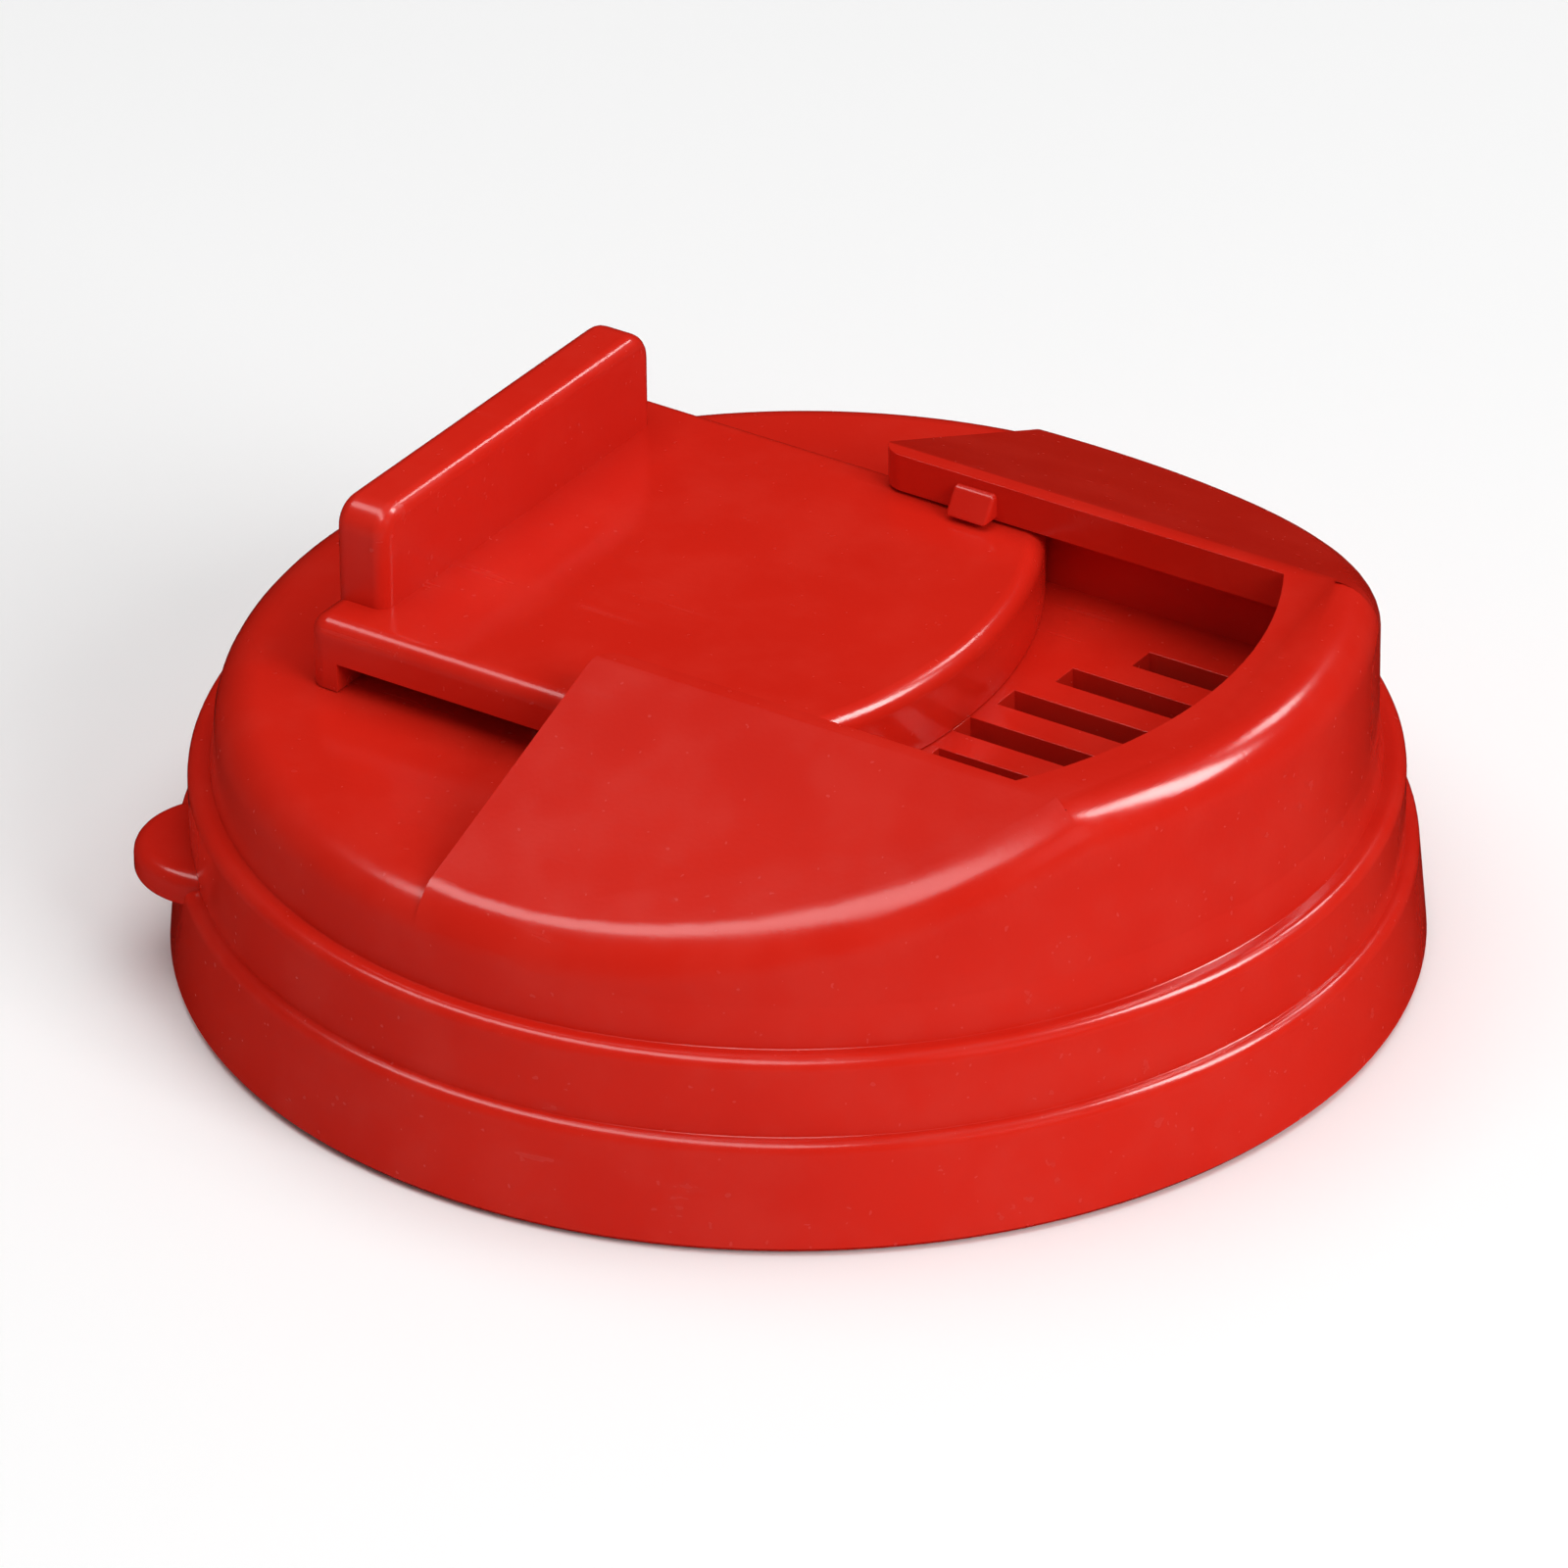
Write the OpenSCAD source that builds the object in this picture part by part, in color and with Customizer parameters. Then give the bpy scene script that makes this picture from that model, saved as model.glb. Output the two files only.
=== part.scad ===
// Press-on slide lid for a drinks tumbler.
// Frame: origin at the centre of the skirt's bottom edge, +Z up, +X towards the drinking lip.
// Millimetres throughout.

/* [Skirt and wall] */
// Radius of the lower band, which is the widest part
skirt_r = 45; // [40:0.5:55]
// Height of the lower band
lower_band_h = 8.4; // [6:0.2:10]
// Height at which the upper band ends
upper_band_top = 14.5; // [13.5:0.25:17]
// How far the lower band leans in towards its top
band_draft = 0.6; // [0:0.1:1]
// Step in from the lower band's top to the upper band
band_step = 1; // [0.6:0.1:1.6]
// Step in from the upper band to the wall
wall_step = 1.6; // [0.8:0.1:2]
// Rounding on the top edge of each band
band_round = 1; // [0.4:0.1:1.4]

/* [Deck and roof] */
// Height of the flat deck
deck_z = 20.8; // [19:0.1:24]
// Height of the flat top of the roof
roof_z = 29.5; // [28:0.1:34]
// Height at which the sloping sides of the roof meet the wall
eaves_z = 20.3; // [20:0.1:25]
// Half width of the flat top of the roof
ridge_y = 18.6; // [18:0.1:27]
// Where the roof's rear face stands
roof_x = -4.5; // [-6:0.5:0]
// Thickness of the moulded shell
shell_t = 1.8; // [1.4:0.1:2.2]

/* [Gate] */
// Half width of the gate plate
gate_y = 20.3; // [18:0.1:22]
// Thickness of the gate plate
gate_t = 3.2; // [2.6:0.1:3.8]
// Gap between the deck and the underside of the gate plate
gate_lift = 2.3; // [1.6:0.1:3]
// Rear edge of the gate plate when it is open
gate_rear_x = -28.2; // [-30:0.1:-26]
// How far the gate slides to close
travel = 23.5; // [18:0.5:24]
// How far the roof and the lip overhang the gate's edge
overhang = 3; // [2:0.1:4]
// Thickness of the upright thumb tab
tab_t = 4.4; // [3.5:0.1:5]
// Height of the top of the thumb tab
tab_top = 34; // [31:0.25:38]

/* [Strainer] */
// Number of slots across the strainer
slot_count = 7; // [3:2:7]
// Width of each strainer slot
slot_w = 2.3; // [1.2:0.1:3]
// Distance between neighbouring slots
slot_pitch = 4.9; // [4:0.1:5]

/* [Pull ear] */
// Direction of the pull ear, seen from above
ear_angle = -142; // [-170:1:-100]
// How far the pull ear stands out from the skirt
ear_out = 2.4; // [1.5:0.1:4]
// Width of the pull ear
ear_w = 12.5; // [8:0.5:16]

/* [Hidden] */
$fn = 128;
eps = 0.01;
far = 100;

shell_red = [0.82, 0.09, 0.06];
gate_red = [0.80, 0.08, 0.05];
seal_grey = [0.80, 0.80, 0.78];

lower_top_r = skirt_r - band_draft;
upper_band_r = lower_top_r - band_step;
wall_r = upper_band_r - wall_step;
wall_draft = 0.4;
wall_top_r = wall_r - wall_draft;
rim_round = 3.4;

// The pocket that the cup's rim pushes up into
rim_bore_r = upper_band_r - 1.3;
rim_bore_top = 11.4;
rim_shoulder_z = 13;
groove_r = rim_bore_r + 0.5;
seal_fit = 0.1;
cavity_r = wall_r - shell_t;
seal_inner_r = cavity_r;
cavity_top = deck_z - shell_t;
roof_cavity_r = wall_top_r - shell_t;

// The channel that the gate slides in
clear = 0.3;
gate_bottom = deck_z + gate_lift;
gate_top = gate_bottom + gate_t;
nose_r = skirt_r - 7.5;
channel_r = nose_r + clear;
channel_y = gate_y + clear;
channel_top = gate_top + clear;
window_r = nose_r - overhang;
window_y = gate_y - overhang + 0.1;
casing_y = channel_y + shell_t;
mouth_round = 2;

// Retaining lugs beside the window
lug_x = 2.2;
lug_l = 3.5;
lug_in = 1.6;
lug_drop = 0.8;
lug_z = gate_top + 0.4;

// The gate's own shape, drawn in its open place
tab_y = window_y - 0.5;
tab_front_x = gate_rear_x + 0.2 + tab_t;
tab_round = 1.2;
plate_round = 0.8;
corner_r = 1.5;
foot_l = 2.7;
rim_t = 1.8;
pad_r = nose_r - rim_t;
pad_y = window_y - 0.3;
pad_rear_x = -11;
nose_rim_x = 2;
pad_gap = 0.1;

// The strainer's slots fill the space between two arcs
strainer_r = 22;
strainer_x = nose_r - 1.5;
strainer_front_r = pad_r - 2.5;

ear_t = 2.6;
ear_z = lower_band_h + 1 - ear_t;

// A disc on edge with its top outer corner rounded, as a half profile
module rounded_band(r, z0, z1, round) {
    translate([0, z0]) square([r, z1 - z0 - round]);
    translate([0, z1 - round - eps]) square([r - round, round + eps]);
    translate([r - round, z1 - round]) circle(round);
}

// An upright slab between two heights, as wide as the half width given
module slab(x0, half_y, z0, z1) {
    translate([x0, -half_y, z0]) cube([far, 2 * half_y, z1 - z0]);
}

// The roof's cross section as a prism along X, moved in by a thickness
module roof_prism(inset) {
    slope = (roof_z - eaves_z) / (wall_top_r - ridge_y);
    reach = wall_top_r + 4;
    edge_z = roof_z - slope * (reach - ridge_y);
    translate([roof_x + inset, 0, -inset])
        rotate([90, 0, 90])
            linear_extrude(far)
                polygon([[-reach, 0], [reach, 0], [reach, edge_z], [ridge_y, roof_z],
                         [-ridge_y, roof_z], [-reach, edge_z]]);
}

module skirt_and_deck() {
    rotate_extrude() {
        polygon([[0, 0], [skirt_r, 0], [lower_top_r, lower_band_h - band_round],
                 [0, lower_band_h - band_round]]);
        rounded_band(lower_top_r, lower_band_h - band_round - 1, lower_band_h, band_round);
        rounded_band(upper_band_r, lower_band_h - 2, upper_band_top, band_round);
        polygon([[0, upper_band_top - 2], [wall_r, upper_band_top - 2],
                 [wall_r, upper_band_top], [wall_top_r, deck_z - rim_round],
                 [0, deck_z - rim_round]]);
        rounded_band(wall_top_r, deck_z - rim_round - 2, deck_z, rim_round);
    }
}

module roof() {
    intersection() {
        rotate_extrude() rounded_band(wall_top_r, deck_z - 3, roof_z, rim_round);
        roof_prism(0);
    }
}

// The open underside, with the shoulder that the cup's rim stops on
module underside() {
    translate([0, 0, -eps]) cylinder(r = rim_bore_r, h = rim_bore_top + 2 * eps);
    translate([0, 0, rim_bore_top]) cylinder(r = groove_r, h = rim_shoulder_z - rim_bore_top);
    translate([0, 0, rim_shoulder_z - eps]) cylinder(r = cavity_r, h = cavity_top - rim_shoulder_z);
    difference() {
        intersection() {
            translate([0, 0, rim_shoulder_z]) cylinder(r = roof_cavity_r, h = far);
            roof_prism(shell_t);
        }
        slab(-far / 2, casing_y, cavity_top, far);
    }
}

// The channel for the gate and the window above it
module gate_way() {
    intersection() {
        translate([0, 0, deck_z]) cylinder(r = channel_r, h = channel_top - deck_z);
        slab(roof_x - 1, channel_y, 0, far);
    }
    intersection() {
        translate([0, 0, deck_z]) cylinder(r = window_r, h = far);
        slab(roof_x - 1, window_y, 0, far);
    }
    for (side = [-1, 1]) mouth_corner(side);
}

// Rounds the corner between the roof's rear face and the window
module mouth_corner(side) {
    translate([roof_x, side * window_y, gate_top])
        difference() {
            translate([-1, -mouth_round, 0]) cube([1 + mouth_round, 2 * mouth_round, far]);
            translate([mouth_round, side * mouth_round, -1]) cylinder(r = mouth_round, h = far);
            translate([-far / 2, side > 0 ? mouth_round : -far, -1]) cube([far, far - mouth_round, far]);
        }
}

// A row of slots with square ends, whose lengths follow the arcs
module strainer_slots() {
    middle = (slot_count - 1) / 2;
    for (i = [-middle : middle]) {
        y = i * slot_pitch;
        rear = strainer_x - sqrt(pow(strainer_r, 2) - pow(y, 2));
        front = sqrt(pow(strainer_front_r, 2) - pow(abs(y) + slot_w / 2, 2));
        translate([rear, y - slot_w / 2, cavity_top - 1]) cube([front - rear, slot_w, shell_t + 2]);
    }
}

// A lug that stands in from the window's side and keeps the gate down
module lug(side) {
    inner = window_y - lug_in;
    translate([lug_x, 0, 0])
        rotate([90, 0, 90])
            linear_extrude(lug_l)
                polygon([[side * inner, lug_z], [side * (window_y + 1), lug_z],
                         [side * (window_y + 1), roof_z - lug_drop],
                         [side * (window_y - 0.3), roof_z - lug_drop], [side * inner, lug_z + 1]]);
}

module pull_ear() {
    rotate([0, 0, ear_angle])
        translate([skirt_r + ear_out - ear_w / 2, 0, ear_z])
            intersection() {
                rotate_extrude() rounded_band(ear_w / 2, 0, ear_t, band_round);
                translate([-ear_w / 2 + ear_out, -ear_w, -1]) cube([ear_w, 2 * ear_w, ear_t + 2]);
            }
}

module lid_shell() {
    color(shell_red) {
        difference() {
            union() {
                skirt_and_deck();
                roof();
                pull_ear();
            }
            underside();
            gate_way();
            strainer_slots();
        }
        for (side = [-1, 1]) lug(side);
    }
}

// The gate's outline: straight sides, small rear corners and an arc for the nose
module gate_outline(inset) {
    intersection() {
        translate([-travel, 0]) circle(nose_r - inset);
        union() {
            translate([gate_rear_x + corner_r, -gate_y + inset]) square([far, 2 * (gate_y - inset)]);
            translate([gate_rear_x + inset, -gate_y + corner_r]) square([far, 2 * (gate_y - corner_r)]);
            for (side = [-1, 1])
                translate([gate_rear_x + corner_r, side * (gate_y - corner_r)]) circle(corner_r - inset);
        }
    }
}

// Two layers give the plate a stepped top edge that stands for its rounding
module gate_plate() {
    translate([0, 0, gate_bottom]) linear_extrude(gate_t - plate_round) gate_outline(0);
    translate([0, 0, gate_top - plate_round - eps])
        linear_extrude(plate_round + eps) gate_outline(plate_round / 3);
}

// The upright tab, with round upright edges and a rounded top
module thumb_tab() {
    mid_x = tab_front_x - tab_t / 2;
    rise = tab_top - gate_top;
    intersection() {
        translate([mid_x, 0, gate_top - 1])
            linear_extrude(rise + 1)
                for (side = [-1, 1], edge = [-1, 1]) {
                    translate([edge * (tab_t / 2 - tab_round), side * (tab_y - tab_round)]) circle(tab_round);
                    square([tab_t, 2 * (tab_y - tab_round)], center = true);
                    square([tab_t - 2 * tab_round, 2 * tab_y], center = true);
                }
        translate([mid_x, far / 2, 0])
            rotate([90, 0, 0])
                linear_extrude(far) tab_section();
    }
}

// The tab's section across X, rounded along both top edges
module tab_section() {
    for (edge = [-1, 1])
        translate([edge * (tab_t / 2 - tab_round), tab_top - tab_round]) circle(tab_round);
    translate([-tab_t / 2 + tab_round, 0]) square([tab_t - 2 * tab_round, tab_top]);
    translate([-tab_t / 2, 0]) square([tab_t, tab_top - tab_round]);
}

// The feet that carry the plate: a bar at the rear and a rim that follows the nose
module gate_feet() {
    intersection() {
        translate([0, 0, deck_z + pad_gap]) linear_extrude(gate_lift) gate_outline(0);
        union() {
            translate([gate_rear_x, -far / 2, 0]) cube([foot_l, far, far]);
            difference() {
                slab(nose_rim_x, far / 2, 0, far);
                translate([-travel, 0, 0]) cylinder(r = pad_r, h = far);
            }
        }
    }
}

module slide_gate() {
    color(gate_red) {
        gate_plate();
        thumb_tab();
        gate_feet();
    }
}

// Soft pad under the gate's nose, which covers the strainer when the gate is closed
module gate_seal() {
    color(seal_grey)
        intersection() {
            translate([-travel, 0, deck_z + pad_gap]) cylinder(r = pad_r, h = gate_lift - pad_gap);
            slab(pad_rear_x, pad_y, 0, far);
        }
}

// Soft ring in its groove, which the cup's rim presses against
module rim_seal() {
    seal_round = 0.4;
    outer = groove_r - seal_fit;
    height = rim_shoulder_z - rim_bore_top;
    color(seal_grey)
        rotate_extrude()
            difference() {
                translate([seal_inner_r, rim_bore_top]) square([outer - seal_inner_r, height]);
                translate([seal_inner_r - eps, rim_bore_top - eps])
                    difference() {
                        square(seal_round);
                        translate([seal_round, seal_round]) circle(seal_round);
                    }
            }
}

lid_shell();
slide_gate();
gate_seal();
rim_seal();
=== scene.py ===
"""A red slide lid for a drinks tumbler: its moulded pieces, their plastic, and a plain studio."""
import math

import bmesh
import bpy
from mathutils import Matrix, Vector


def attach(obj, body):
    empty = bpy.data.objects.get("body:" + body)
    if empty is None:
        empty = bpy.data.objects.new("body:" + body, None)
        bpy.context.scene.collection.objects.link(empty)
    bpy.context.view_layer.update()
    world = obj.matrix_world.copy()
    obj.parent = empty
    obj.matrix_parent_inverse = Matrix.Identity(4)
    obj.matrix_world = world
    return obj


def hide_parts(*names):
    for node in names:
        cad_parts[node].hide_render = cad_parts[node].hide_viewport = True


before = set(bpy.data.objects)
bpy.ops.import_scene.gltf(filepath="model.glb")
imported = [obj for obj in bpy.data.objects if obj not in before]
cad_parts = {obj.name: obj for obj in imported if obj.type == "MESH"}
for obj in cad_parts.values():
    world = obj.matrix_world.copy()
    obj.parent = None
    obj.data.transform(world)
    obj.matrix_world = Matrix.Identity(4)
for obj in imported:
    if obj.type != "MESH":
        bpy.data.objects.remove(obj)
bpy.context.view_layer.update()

MM = 0.001
SIDES = 192

# Sizes of the lid, in millimetres, as in its CAD source
SKIRT_R = 45.0
LOWER_TOP_R = 44.4
LOWER_BAND_TOP = 8.4
UPPER_BAND_R = 43.4
UPPER_BAND_TOP = 14.5
WALL_R = 41.8
WALL_TOP_R = 41.4
DECK_Z = 20.8
ROOF_Z = 29.5
EAVES_Z = 20.3
RIDGE_Y = 18.6
ROOF_X = -4.5
RIM_ROUND = 3.4
SHELL_T = 1.8
CHANNEL_R = 37.8
CHANNEL_Y = 20.6
CHANNEL_TOP = 26.6
WINDOW_R = 34.5
WINDOW_Y = 17.4
MOUTH_ROUND = 2.0

GATE_REAR_X = -28.2
GATE_Y = 20.3
GATE_BOTTOM = 23.1
GATE_TOP = 26.3
NOSE_R = 37.5
TRAVEL = 23.5
FOOT_BOTTOM = 20.9
FOOT_L = 2.7
NOSE_RIM_T = 1.8
NOSE_RIM_X = 2.0
TAB_Y = 16.9
TAB_FRONT_X = -23.6
TAB_REAR_X = -28.0
TAB_TOP = 34.0


# ---------------------------------------------------------------- working with Blender's tools

def deselect_all():
    for thing in list(bpy.context.selected_objects):
        thing.select_set(False)


def take(piece):
    """Makes this piece the only one selected, and the active one."""
    deselect_all()
    piece.select_set(True)
    bpy.context.view_layer.objects.active = piece


def open_mesh(piece):
    """Goes into edit mode on one piece, with nothing selected."""
    take(piece)
    bpy.ops.object.mode_set(mode="EDIT")
    bpy.ops.mesh.select_mode(type="EDGE")
    bpy.ops.mesh.select_all(action="DESELECT")


def close_mesh():
    bpy.ops.object.mode_set(mode="OBJECT")


def choose_edges(piece, wanted):
    """Selects the edges that the test accepts, by place or normal, and counts them."""
    mesh = bmesh.from_edit_mesh(piece.data)
    mesh.normal_update()
    found = [edge for edge in mesh.edges if wanted(edge)]
    for edge in found:
        edge.select_set(True)
    bmesh.update_edit_mesh(piece.data)
    return len(found)


def settle(piece):
    """Puts a piece's place and size into its mesh, so that its object sits at the origin."""
    take(piece)
    bpy.ops.object.transform_apply(location=True, rotation=True, scale=True)
    return piece


def disc(name, radius, low, high, x=0.0, y=0.0, sides=SIDES):
    bpy.ops.mesh.primitive_cylinder_add(
        vertices=sides, radius=radius * MM, depth=(high - low) * MM,
        location=(x * MM, y * MM, (low + high) / 2 * MM))
    piece = bpy.context.object
    piece.name = name
    return settle(piece)


def block(name, low, high):
    """A block between two corners."""
    middle = [(a + b) / 2 * MM for a, b in zip(low, high)]
    bpy.ops.mesh.primitive_cube_add(size=1, location=middle)
    piece = bpy.context.object
    piece.name = name
    piece.scale = [(b - a) * MM for a, b in zip(low, high)]
    return settle(piece)


def arc(centre_r, centre_z, radius, start, end, steps):
    """Points on an arc of a turned outline, from one angle in degrees to another."""
    points = []
    for step in range(steps + 1):
        angle = math.radians(start + (end - start) * step / steps)
        points.append((centre_r + radius * math.cos(angle), centre_z + radius * math.sin(angle)))
    return points


def turned(name, outline, sides=SIDES):
    """A solid spun about the lid's axis from an outline of radii and heights that starts and ends on it."""
    bpy.ops.mesh.primitive_plane_add(size=MM, location=(0, 0, 0))
    piece = bpy.context.object
    piece.name = name
    take(piece)
    bpy.ops.object.mode_set(mode="EDIT")
    bpy.ops.mesh.select_mode(type="VERT")
    bpy.ops.mesh.select_all(action="SELECT")
    bpy.ops.mesh.merge(type="CENTER")
    bpy.ops.transform.translate(value=(outline[0][0] * MM, 0, outline[0][1] * MM))
    for (r0, z0), (r1, z1) in zip(outline, outline[1:]):
        bpy.ops.mesh.extrude_region_move(
            TRANSFORM_OT_translate={"value": ((r1 - r0) * MM, 0, (z1 - z0) * MM)})
    bpy.ops.mesh.select_all(action="SELECT")
    bpy.ops.mesh.spin(steps=sides, angle=math.tau, center=(0, 0, 0), axis=(0, 0, 1))
    bpy.ops.mesh.select_all(action="SELECT")
    bpy.ops.mesh.remove_doubles(threshold=0.001 * MM)
    bpy.ops.mesh.normals_make_consistent(inside=False)
    close_mesh()
    return piece


def combine(piece, tool, how):
    """Joins a tool to a piece, cuts it away or keeps what they share, and removes the tool."""
    take(piece)
    step = piece.modifiers.new("shape", "BOOLEAN")
    step.operation = how
    step.solver = "MANIFOLD"
    step.object = tool
    bpy.ops.object.modifier_apply(modifier="shape")
    bpy.data.objects.remove(tool)
    return piece


def add(piece, tool):
    return combine(piece, tool, "UNION")


def cut(piece, tool):
    return combine(piece, tool, "DIFFERENCE")


def keep(piece, tool):
    return combine(piece, tool, "INTERSECT")


def clean(piece, angle=0.4):
    """Merges doubled points and flat neighbours that cutting leaves behind."""
    take(piece)
    bpy.ops.object.mode_set(mode="EDIT")
    bpy.ops.mesh.select_all(action="SELECT")
    bpy.ops.mesh.remove_doubles(threshold=0.003 * MM)
    bpy.ops.mesh.dissolve_limited(angle_limit=math.radians(angle), use_dissolve_boundaries=False)
    bpy.ops.mesh.select_all(action="SELECT")
    bpy.ops.mesh.normals_make_consistent(inside=False)
    close_mesh()
    return piece


def round_edges(piece, groups, steps=5, across=False, clamp=True):
    """Rounds groups of edges in one go, each group being a test and its width in millimetres.

    The width is how far the rounding reaches along a face, or straight across it.
    """
    widest = max(width for wanted, width in groups)
    open_mesh(piece)
    mesh = bmesh.from_edit_mesh(piece.data)
    mesh.normal_update()
    weights = mesh.edges.layers.float.get("bevel_weight_edge")
    if weights is None:
        weights = mesh.edges.layers.float.new("bevel_weight_edge")
    counts = []
    for wanted, width in groups:
        found = [edge for edge in mesh.edges if wanted(edge)]
        for edge in found:
            edge[weights] = width / widest
        counts.append(len(found))
    bmesh.update_edit_mesh(piece.data)
    close_mesh()
    take(piece)
    step = piece.modifiers.new("rounding", "BEVEL")
    step.width = widest * MM
    step.segments = steps
    step.limit_method = "WEIGHT"
    step.offset_type = "WIDTH" if across else "OFFSET"
    step.use_clamp_overlap = clamp
    step.miter_outer = "MITER_ARC"
    bpy.ops.object.modifier_apply(modifier="rounding")
    layer = piece.data.attributes.get("bevel_weight_edge")
    if layer is not None:
        piece.data.attributes.remove(layer)
    print("ROUNDED", piece.name, counts)
    return piece


def smooth(piece, angle=32):
    """Shades round faces smoothly and keeps flat faces flat."""
    take(piece)
    bpy.ops.object.shade_smooth_by_angle(angle=math.radians(angle))
    step = piece.modifiers.new("shading", "WEIGHTED_NORMAL")
    step.mode = "FACE_AREA"
    step.weight = 80
    step.keep_sharp = True
    bpy.ops.object.modifier_apply(modifier="shading")
    return piece


# ---------------------------------------------------------------- tests that pick edges

def radius_of(point):
    return math.hypot(point.x, point.y) / MM


def faces_up(face):
    return face.normal.z > 0.5


def stands(face):
    return abs(face.normal.z) < 0.3


def top_edge(edge):
    """An edge between a face that looks up and one that stands upright."""
    if len(edge.link_faces) != 2:
        return False
    one, other = edge.link_faces
    return (faces_up(one) and stands(other)) or (faces_up(other) and stands(one))


def at_height(edge, z, slack=0.02):
    return all(abs(vert.co.z / MM - z) < slack for vert in edge.verts)


# ---------------------------------------------------------------- the lid's shell

def roof_slope():
    return (ROOF_Z - EAVES_Z) / (WALL_TOP_R - RIDGE_Y)


def roof_block():
    """The raised roof: a disc cut by two sloping planes, rounded, then opened for the gate and the window."""
    roof = disc("roof", WALL_TOP_R, 8, ROOF_Z)
    lean = math.atan(roof_slope())
    for side in (-1, 1):
        slice_off(roof, (0, side * RIDGE_Y, ROOF_Z), (0, side * math.sin(lean), math.cos(lean)))
    round_edges(roof, [(rim_edge, 4.8)], steps=8, across=True, clamp=False)
    slice_off(roof, (ROOF_X, 0, 0), (-1, 0, 0))
    slice_off(roof, (0, 0, 15.5), (0, 0, -1))
    cut(roof, window_tool())
    clean(roof)
    round_edges(roof, [(inner_edge, 1.6)], steps=6, across=True)
    cut(roof, channel_tool())
    return roof


def slice_off(piece, point, outward):
    """Cuts a piece along a plane and throws away the side that the plane faces."""
    open_mesh(piece)
    bpy.ops.mesh.select_all(action="SELECT")
    bpy.ops.mesh.bisect(plane_co=[value * MM for value in point], plane_no=outward,
                        use_fill=True, clear_outer=True, threshold=0.0001 * MM)
    close_mesh()


def rim_edge(edge):
    """The roof's outer edge, along the wall."""
    return top_edge(edge) and all(radius_of(vert.co) > WALL_TOP_R - 0.1 for vert in edge.verts)


def inner_edge(edge):
    """The roof's other top edges, round the window and along the rear face."""
    return top_edge(edge) and all(radius_of(vert.co) < WALL_TOP_R - 2.5 for vert in edge.verts)


def window_tool():
    """The window's opening, with its two rear corners rounded."""
    tool = disc("window", WINDOW_R, 10, 40, sides=128)
    keep(tool, block("window_sides", (ROOF_X - 2, -WINDOW_Y, 0), (50, WINDOW_Y, 50)))
    for side in (-1, 1):
        corner = block("corner", (ROOF_X - 1, min(0, side * (WINDOW_Y + MOUTH_ROUND)), 10),
                       (ROOF_X + MOUTH_ROUND, max(0, side * (WINDOW_Y + MOUTH_ROUND)), 40))
        cut(corner, disc("corner_round", MOUTH_ROUND, 0, 50, x=ROOF_X + MOUTH_ROUND,
                         y=side * (WINDOW_Y + MOUTH_ROUND), sides=28))
        add(tool, corner)
    return tool


def channel_tool():
    """The room that the gate slides into, under the roof and the lip."""
    tool = disc("channel", CHANNEL_R, 10, CHANNEL_TOP)
    return keep(tool, block("channel_sides", (ROOF_X - 2, -CHANNEL_Y, 0), (50, CHANNEL_Y, 50)))


def body_outline():
    """The outline of the two bands, the wall and the deck."""
    band_round = 1.0
    points = [(0, 0), (SKIRT_R - 0.4, 0), (SKIRT_R, 0.4)]
    points += arc(LOWER_TOP_R - band_round, LOWER_BAND_TOP - band_round, band_round, 0, 90, 6)
    points += [(UPPER_BAND_R + 0.05, LOWER_BAND_TOP), (UPPER_BAND_R, LOWER_BAND_TOP + 0.05)]
    points += arc(UPPER_BAND_R - band_round, UPPER_BAND_TOP - band_round, band_round, 0, 90, 6)
    points += [(WALL_R + 0.05, UPPER_BAND_TOP), (WALL_R, UPPER_BAND_TOP + 0.05)]
    points += arc(WALL_TOP_R + 0.03 - RIM_ROUND, DECK_Z - RIM_ROUND, RIM_ROUND, 0, 90, 8)
    points += [(0, DECK_Z)]
    return points


def hollow_outline():
    """The outline of the hollow underneath: the rim's pocket, the seal's groove and the shell's inside."""
    return [(0, -1), (42.1, -1), (42.1, 11.4), (42.6, 11.4), (42.6, 13.0), (WALL_R - SHELL_T, 13.0),
            (WALL_R - SHELL_T, DECK_Z - SHELL_T), (0, DECK_Z - SHELL_T)]


def roof_pocket(side):
    """The hollow under one side of the roof, open to the hollow below."""
    pocket = disc("pocket", WALL_TOP_R - SHELL_T, 14, 40)
    beside = CHANNEL_Y + SHELL_T
    keep(pocket, block("pocket_sides", (ROOF_X + SHELL_T, min(side * beside, side * 50), 0),
                       (50, max(side * beside, side * 50), 50)))
    lean = math.atan(roof_slope())
    slice_off(pocket, (0, side * RIDGE_Y, ROOF_Z - SHELL_T), (0, side * math.sin(lean), math.cos(lean)))
    return pocket


def pull_ear():
    """The small ear on the skirt for pulling the lid off."""
    out, width = 2.4, 12.5
    low, high = LOWER_BAND_TOP - 1.6, LOWER_BAND_TOP + 1.0
    ear = disc("ear", width / 2, low, high, x=SKIRT_R + out - width / 2, sides=96)
    round_edges(ear, [(lambda edge: at_height(edge, high), 1.1),
                      (lambda edge: at_height(edge, low), 0.6)], steps=6)
    take(ear)
    ear.rotation_euler = (0, 0, math.radians(-142))
    return settle(ear)


def slot_tool(y):
    """One slot of the strainer, at a distance from the lid's middle line."""
    half = 1.15
    start = 36 - math.sqrt(22 ** 2 - y ** 2)
    end = math.sqrt(33.2 ** 2 - (abs(y) + half) ** 2)
    return block("slot", (start, y - half, 15), (end, y + half, 25))


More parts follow.
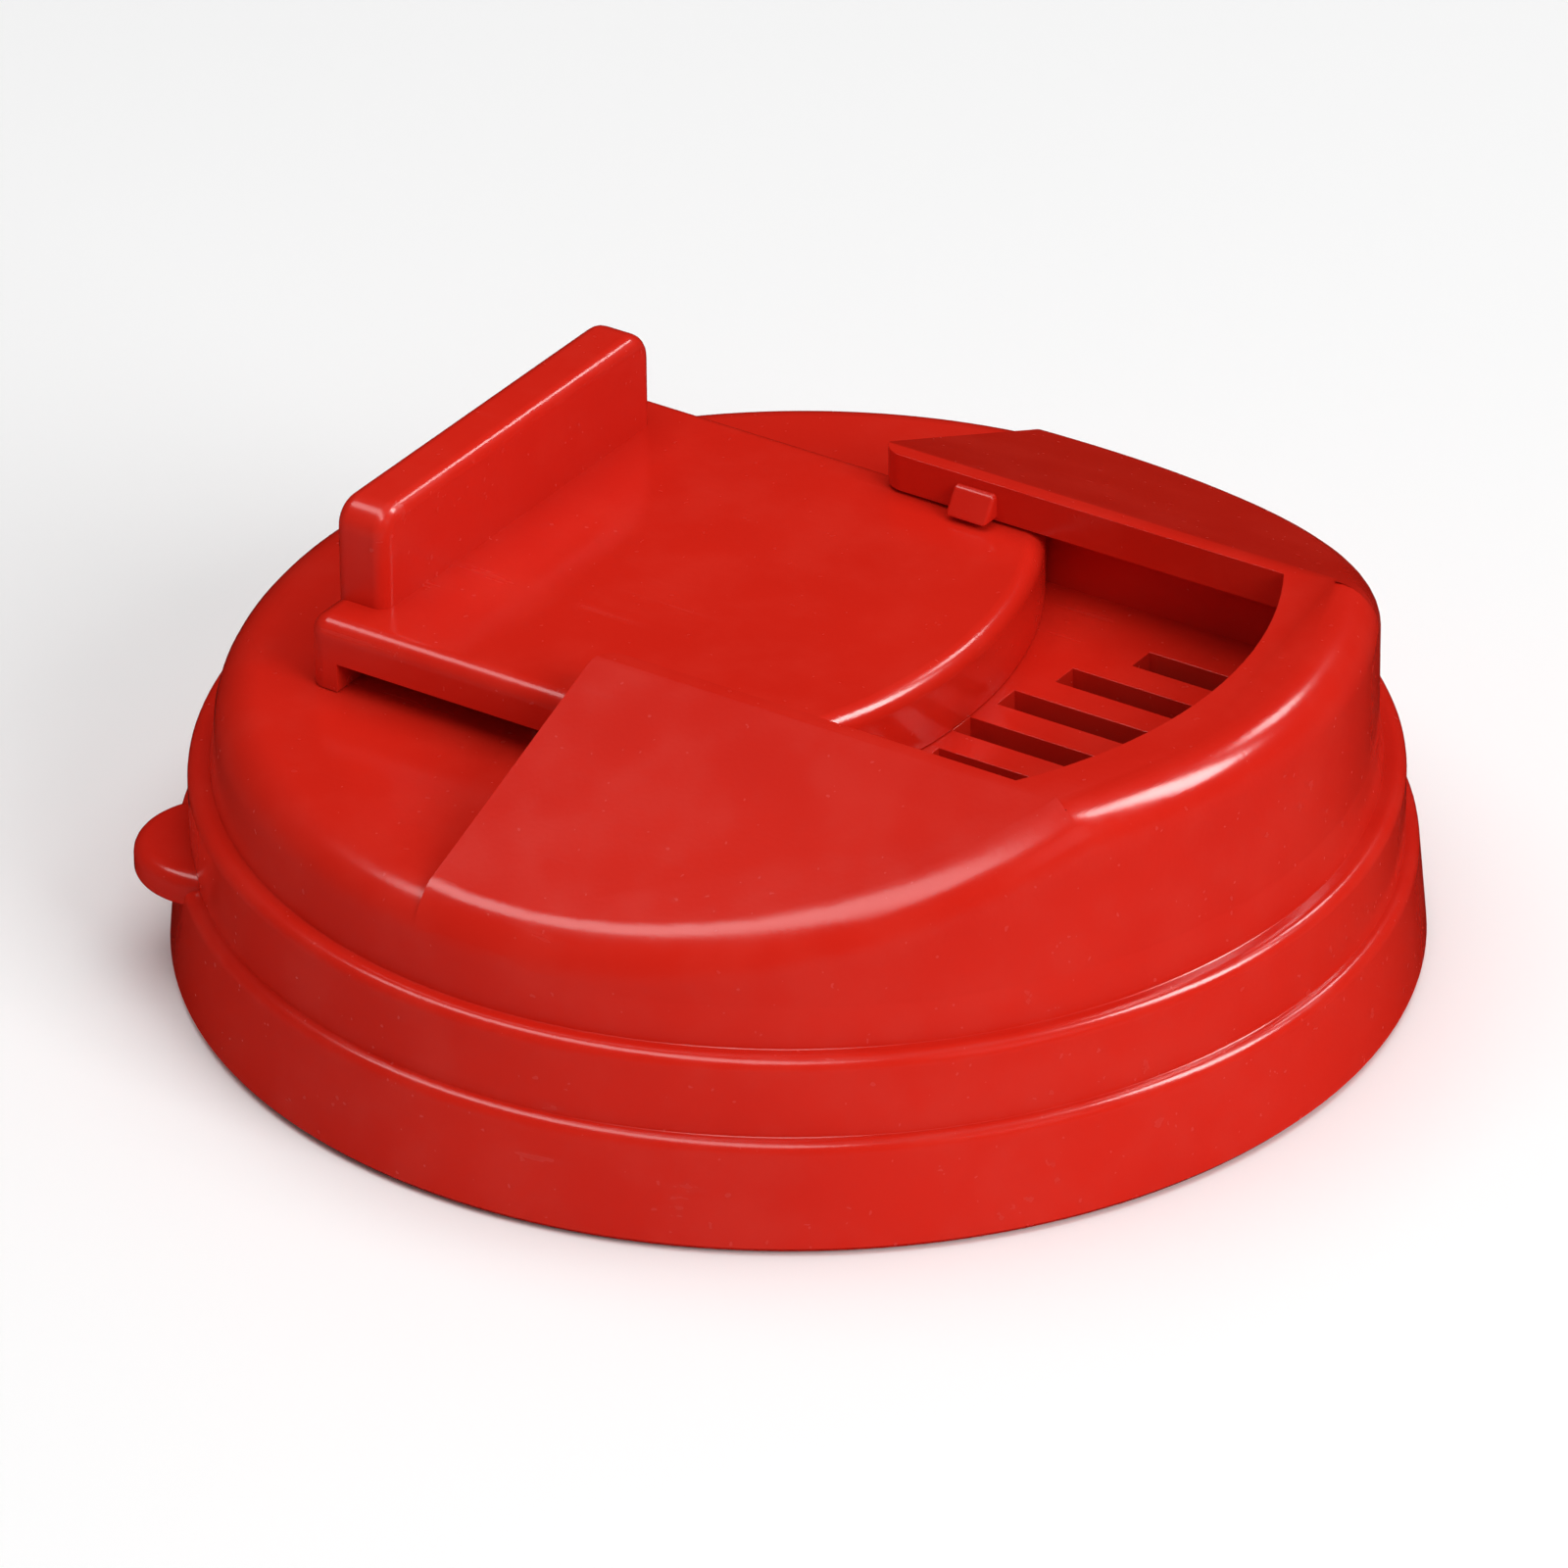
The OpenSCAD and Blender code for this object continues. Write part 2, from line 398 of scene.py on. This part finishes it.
def lug(side):
    """A lug that stands in from the window's side and holds the gate down."""
    piece = block("lug", (2.2, min(side * 15.8, side * 18.4), 26.7), (5.7, max(side * 15.8, side * 18.4), 28.7))
    open_mesh(piece)
    choose_edges(piece, lambda edge: at_height(edge, 28.7)
                 and all(abs(v.co.y / MM) < 16 for v in edge.verts))
    bpy.ops.transform.translate(value=(0, side * 1.3 * MM, 0))
    close_mesh()
    return round_edges(piece, [(lambda edge: True, 0.3)], steps=3)


def shell():
    body = turned("lid", body_outline())
    add(body, pull_ear())
    add(body, roof_block())
    cut(body, turned("hollow", hollow_outline()))
    for side in (-1, 1):
        cut(body, roof_pocket(side))
    for step in range(-3, 4):
        cut(body, slot_tool(step * 4.9))
    clean(body, 0.3)
    round_edges(body, [(slot_rim, 0.5)], steps=4)
    for side in (-1, 1):
        add(body, lug(side))
    return smooth(body)


def slot_rim(edge):
    """The top edge of a strainer slot."""
    return (top_edge(edge) and at_height(edge, DECK_Z)
            and all(v.co.x / MM > 13 and abs(v.co.y / MM) < 16.5 and radius_of(v.co) < 33.6 for v in edge.verts))


# ---------------------------------------------------------------- the gate

def gate_outline(low, high, name="plate"):
    piece = disc(name, NOSE_R, low, high, x=-TRAVEL, sides=128)
    return keep(piece, block("plate_sides", (GATE_REAR_X, -GATE_Y, 0), (50, GATE_Y, 50)))


def upright_corner(edge):
    return stands_up(edge) and all(v.co.x / MM < GATE_REAR_X + 0.5 for v in edge.verts)


def stands_up(edge):
    a, b = edge.verts
    return abs(a.co.z - b.co.z) > 1 * MM and abs(a.co.x - b.co.x) < 0.05 * MM and abs(a.co.y - b.co.y) < 0.05 * MM


def gate():
    """The sliding plate on its rear foot and nose rim, with the thumb tab."""
    plate = gate_outline(FOOT_BOTTOM, GATE_TOP)
    round_edges(plate, [(upright_corner, 1.6)], steps=8)
    space = disc("nose_space", NOSE_R - NOSE_RIM_T, 0, GATE_BOTTOM, x=-TRAVEL, sides=128)
    keep(space, block("nose_space_sides", (GATE_REAR_X + FOOT_L, -50, -1), (50, 50, 50)))
    add(space, block("side_space", (GATE_REAR_X + FOOT_L, -50, 0), (NOSE_RIM_X, 50, GATE_BOTTOM)))
    cut(plate, space)
    clean(plate, 0.3)
    round_edges(plate, [(lambda edge: top_edge(edge) and at_height(edge, GATE_TOP), 1.4)], steps=7)
    add(plate, thumb_tab())
    return smooth(plate)


def thumb_tab():
    """The upright tab, with well rounded upper ends and softer edges all round its faces."""
    tab = block("tab", (TAB_REAR_X, -TAB_Y, GATE_TOP - 1), (TAB_FRONT_X, TAB_Y, TAB_TOP))
    round_edges(tab, [(lambda edge: at_height(edge, TAB_TOP) and runs_along_x(edge), 2.2)], steps=8)
    round_edges(tab, [(outlines_face, 1.1)], steps=6)
    return tab


def runs_along_x(edge):
    a, b = edge.verts
    return abs(a.co.y - b.co.y) < 0.01 * MM and abs(a.co.z - b.co.z) < 0.01 * MM


def outlines_face(edge):
    """An edge round the tab's front or rear face, apart from its foot."""
    facing = [abs(face.normal.x) > 0.9 for face in edge.link_faces]
    return facing.count(True) == 1 and not at_height(edge, GATE_TOP - 1)


# ---------------------------------------------------------------- shader sums

class Socket:
    """A shader value that can be added, subtracted, multiplied and divided in Python."""

    def __init__(self, recipe, value):
        self.recipe = recipe
        self.value = value

    def sum(self, operation, other, swapped=False):
        pair = (other, self) if swapped else (self, other)
        return self.recipe.node("ShaderNodeMath", {"operation": operation}, {0: pair[0], 1: pair[1]})

    def __add__(self, other):
        return self.sum("ADD", other)

    def __radd__(self, other):
        return self.sum("ADD", other, True)

    def __sub__(self, other):
        return self.sum("SUBTRACT", other)

    def __rsub__(self, other):
        return self.sum("SUBTRACT", other, True)

    def __mul__(self, other):
        return self.sum("MULTIPLY", other)

    def __rmul__(self, other):
        return self.sum("MULTIPLY", other, True)

    def __truediv__(self, other):
        return self.sum("DIVIDE", other)

    def __pow__(self, other):
        return self.sum("POWER", other)


class Recipe:
    """One material, built up from shader nodes."""

    def __init__(self, name):
        self.material = bpy.data.materials.new(name)
        self.material.use_nodes = True
        self.tree = self.material.node_tree
        self.face = self.tree.nodes["Principled BSDF"]
        self.place = self.node("ShaderNodeTexCoord", {}, {}, "Object")

    def plug(self, socket, value):
        if isinstance(value, Socket):
            self.tree.links.new(value.value, socket)
        else:
            socket.default_value = value

    def node(self, kind, settings, inputs, output=0):
        """Adds a node: its settings first, then the values and links of its inputs."""
        node = self.tree.nodes.new(kind)
        for key, value in settings.items():
            setattr(node, key, value)
        for key, value in inputs.items():
            self.plug(node.inputs[key], value)
        return Socket(self, node.outputs[output])

    def noise(self, scale, detail=3.0, roughness=0.5, place=None, output="Fac"):
        """Soft clouds, with the scale in waves per metre."""
        return self.node("ShaderNodeTexNoise", {},
                         {"Vector": place or self.place, "Scale": scale, "Detail": detail, "Roughness": roughness},
                         output)

    def stretched(self, along, across, turn=0.0):
        """The object's place, drawn out along X so that a pattern turns into streaks."""
        return self.node("ShaderNodeMapping", {},
                         {"Vector": self.place, "Rotation": (0, 0, math.radians(turn)),
                          "Scale": (along, across, across)})

    def between(self, value, low, high, start=0.0, end=1.0):
        """Maps a range of a value smoothly on to another, and holds it at the ends."""
        return self.node("ShaderNodeMapRange", {"interpolation_type": "SMOOTHSTEP"},
                         {"Value": value, "From Min": low, "From Max": high, "To Min": start, "To Max": end})

    def blend(self, amount, first, second):
        """Mixes two colours."""
        return self.node("ShaderNodeMix", {"data_type": "RGBA"},
                         {"Factor": amount, 6: first, 7: second}, 2)

    def height_of(self):
        """The X, Y and Z of the point being shaded, in metres."""
        parts = self.tree.nodes.new("ShaderNodeSeparateXYZ")
        self.plug(parts.inputs[0], self.place)
        return [Socket(self, parts.outputs[i]) for i in range(3)]

    def bump(self, height, strength, distance, normal=None):
        inputs = {"Height": height, "Strength": strength, "Distance": distance}
        if normal is not None:
            inputs["Normal"] = normal
        return self.node("ShaderNodeBump", {}, inputs)


# ---------------------------------------------------------------- the plastic

def moulded_red(name, base, deep, worn):
    """Glossy moulded plastic: slow drifts of colour, a fine grain, dust specks and light scuffs."""
    red = Recipe(name)
    drift = red.noise(38, 3)
    cloud = red.noise(160, 4, 0.6)
    grain = red.noise(2600, 2)
    specks = red.between(red.noise(1500, 1), 0.70, 0.80)
    streaks = red.noise(420, 3, 0.6, red.stretched(0.06, 1.6))
    scuffs = red.between(streaks, 0.60, 0.74) * red.between(red.noise(75, 2), 0.48, 0.62)
    tone = red.blend(red.between(drift, 0.35, 0.68), deep, base)
    tone = red.blend(red.between(cloud, 0.40, 0.70) * 0.25, tone, worn)
    tone = red.blend(scuffs * 0.16 + specks * 0.10, tone, worn)
    red.plug(red.face.inputs["Base Color"], tone)
    shine = 0.15 + red.between(cloud, 0.35, 0.70) * 0.05 + scuffs * 0.16 + specks * 0.12
    red.plug(red.face.inputs["Roughness"], shine + grain * 0.04)
    red.plug(red.face.inputs["Specular IOR Level"], 0.42)
    waves = red.bump(drift, 0.25, 0.00004)
    skin = red.bump(grain * 0.6 + cloud * 0.8 + scuffs * -0.5, 0.35, 0.000035, waves)
    red.plug(red.face.inputs["Normal"], skin)
    return red.material


def soft_seal(name):
    """Pale matt silicone with a fine grain, faint yellowing and red dust rubbed off the plastic."""
    seal = Recipe(name)
    drift = seal.noise(90, 3)
    grain = seal.noise(3200, 2)
    rubbed = seal.between(seal.noise(700, 3, 0.65, seal.stretched(0.12, 1.0)), 0.58, 0.76)
    tone = seal.blend(seal.between(drift, 0.35, 0.65), (0.66, 0.66, 0.63, 1), (0.56, 0.55, 0.50, 1))
    tone = seal.blend(rubbed * 0.35, tone, (0.50, 0.22, 0.18, 1))
    seal.plug(seal.face.inputs["Base Color"], tone)
    seal.plug(seal.face.inputs["Roughness"], 0.50 + grain * 0.16 + rubbed * 0.1)
    seal.plug(seal.face.inputs["Normal"], seal.bump(grain + drift * 0.6, 0.4, 0.00006))
    return seal.material


def finish(piece, material, node, body):
    """Puts a finished piece in place of its CAD node, on its body."""
    piece.data.materials.clear()
    piece.data.materials.append(material)
    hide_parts(node)
    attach(piece, body)


def cover(node, material):
    """Gives a CAD node, which keeps its own mesh, its material."""
    piece = bpy.data.objects[node]
    piece.data.materials.clear()
    piece.data.materials.append(material)


lid_shell = shell()
lid_shell.name = "moulded_shell"
slide = gate()
slide.name = "moulded_gate"
finish(lid_shell, moulded_red("shell_plastic", (0.65, 0.0165, 0.0072, 1), (0.61, 0.0145, 0.0065, 1), (0.68, 0.028, 0.015, 1)),
       "lid_shell", "lid")
finish(slide, moulded_red("gate_plastic", (0.67, 0.017, 0.0075, 1), (0.63, 0.015, 0.0065, 1), (0.70, 0.030, 0.016, 1)),
       "slide_gate", "gate")
for name in ("gate_seal", "rim_seal"):
    cover(name, soft_seal(name + "_silicone"))


# ---------------------------------------------------------------- the studio

def studio_floor():
    """A pale table top, which the glossy plastic doesn't mirror."""
    bpy.ops.mesh.primitive_plane_add(size=4, location=(0, 0, -0.0002))
    floor = bpy.context.object
    floor.name = "floor"
    floor.visible_glossy = False
    white = bpy.data.materials.new("pale_floor")
    white.use_nodes = True
    white.node_tree.nodes["Principled BSDF"].inputs["Base Color"].default_value = (0.98, 0.98, 0.98, 1)
    white.node_tree.nodes["Principled BSDF"].inputs["Roughness"].default_value = 0.9
    floor.data.materials.append(white)


def camera():
    tilt, turn, roll = math.radians(29.85), math.radians(33.95), math.radians(-0.55)
    distance, scale = 1.0, 14234
    right = Vector((math.cos(turn), math.sin(turn), 0))
    back = Vector((math.sin(turn) * math.cos(tilt), -math.cos(turn) * math.cos(tilt), math.sin(tilt)))
    up = back.cross(right)
    across = right * math.cos(roll) + up * math.sin(roll)
    upward = up * math.cos(roll) - right * math.sin(roll)
    aim = across * (800 - 814.7) / scale + upward * (942.3 - 800) / scale
    lens = bpy.data.cameras.new("camera")
    lens.sensor_width = 36
    lens.lens = 36 * distance * scale / 1600
    lens.clip_end = 10
    view = bpy.data.objects.new("camera", lens)
    bpy.context.scene.collection.objects.link(view)
    turned_axes = Matrix((across, upward, back)).transposed().to_4x4()
    view.matrix_world = Matrix.Translation(aim + back * distance) @ turned_axes
    bpy.context.scene.camera = view


def soft_light(name, place, wide, deep, power, mirrored):
    """A soft box aimed at the lid, which either lights it or is only mirrored in its gloss."""
    lamp = bpy.data.lights.new(name, "AREA")
    lamp.shape = "RECTANGLE"
    lamp.size = wide
    lamp.size_y = deep
    lamp.energy = power
    holder = bpy.data.objects.new(name, lamp)
    bpy.context.scene.collection.objects.link(holder)
    holder.location = place
    holder.rotation_euler = (Vector((0, 0, 0.02)) - Vector(place)).to_track_quat("-Z", "Y").to_euler()
    holder.visible_glossy = mirrored
    holder.visible_diffuse = not mirrored


def studio_light():
    """Even light from above, a key light on the right, and boxes that draw the edge highlights."""
    world = bpy.data.worlds.new("studio")
    bpy.context.scene.world = world
    world.use_nodes = True
    world.node_tree.nodes["Background"].inputs[0].default_value = (1, 1, 1, 1)
    world.node_tree.nodes["Background"].inputs[1].default_value = 0.24
    world.cycles_visibility.glossy = False
    soft_light("overhead_fill", (0.0, 0.0, 1.0), 1.2, 1.2, 7.4, False)
    soft_light("key_box", (0.80, -0.20, 0.50), 0.45, 0.45, 4.8, False)
    soft_light("lip_box", (0.42, 0.31, 0.55), 0.20, 0.36, 4.4, True)
    soft_light("tab_box", (0.19, 0.54, 0.49), 0.12, 0.12, 0.6, True)
    soft_light("overhead_strip", (-0.12, -0.28, 0.76), 1.1, 0.26, 4.4, True)
    bpy.context.scene.view_settings.view_transform = "Standard"


studio_floor()
camera()
studio_light()
